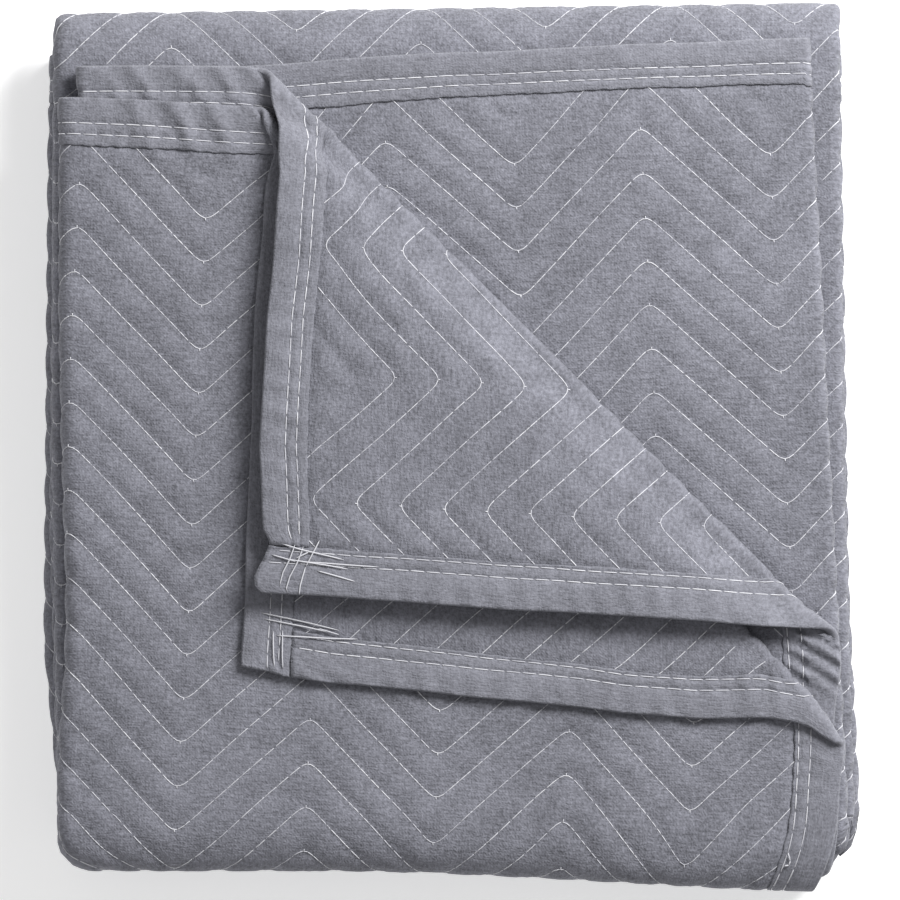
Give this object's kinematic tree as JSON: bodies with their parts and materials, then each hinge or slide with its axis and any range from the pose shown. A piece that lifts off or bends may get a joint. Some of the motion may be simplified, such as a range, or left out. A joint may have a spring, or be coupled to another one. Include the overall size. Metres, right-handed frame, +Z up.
{
  "type": "moving blanket",
  "caption": "Quilted grey moving blanket folded into a flat square pack, with two layered corners turned down across its front.",
  "frame": {"origin": "middle of the pack's footprint, on the surface it rests on", "axes": "+Z up out of the pack, +Y towards the upper fold beside the head edges, +X towards the free side edges"},
  "size_m": [0.476, 0.5172, 0.0819],
  "materials": {
    "quilted_cloth": "matt woven face over padding, sewn in a zigzag with light thread",
    "binding_cloth": "matt woven tape, folded over the edge and sewn with two rows"
  },
  "bodies": {
    "root": {"blanket": "quilted_cloth", "head_end_binding": "binding_cloth", "foot_end_binding": "binding_cloth", "near_side_binding": "binding_cloth", "far_side_binding": "binding_cloth"}
  },
  "joints": []
}
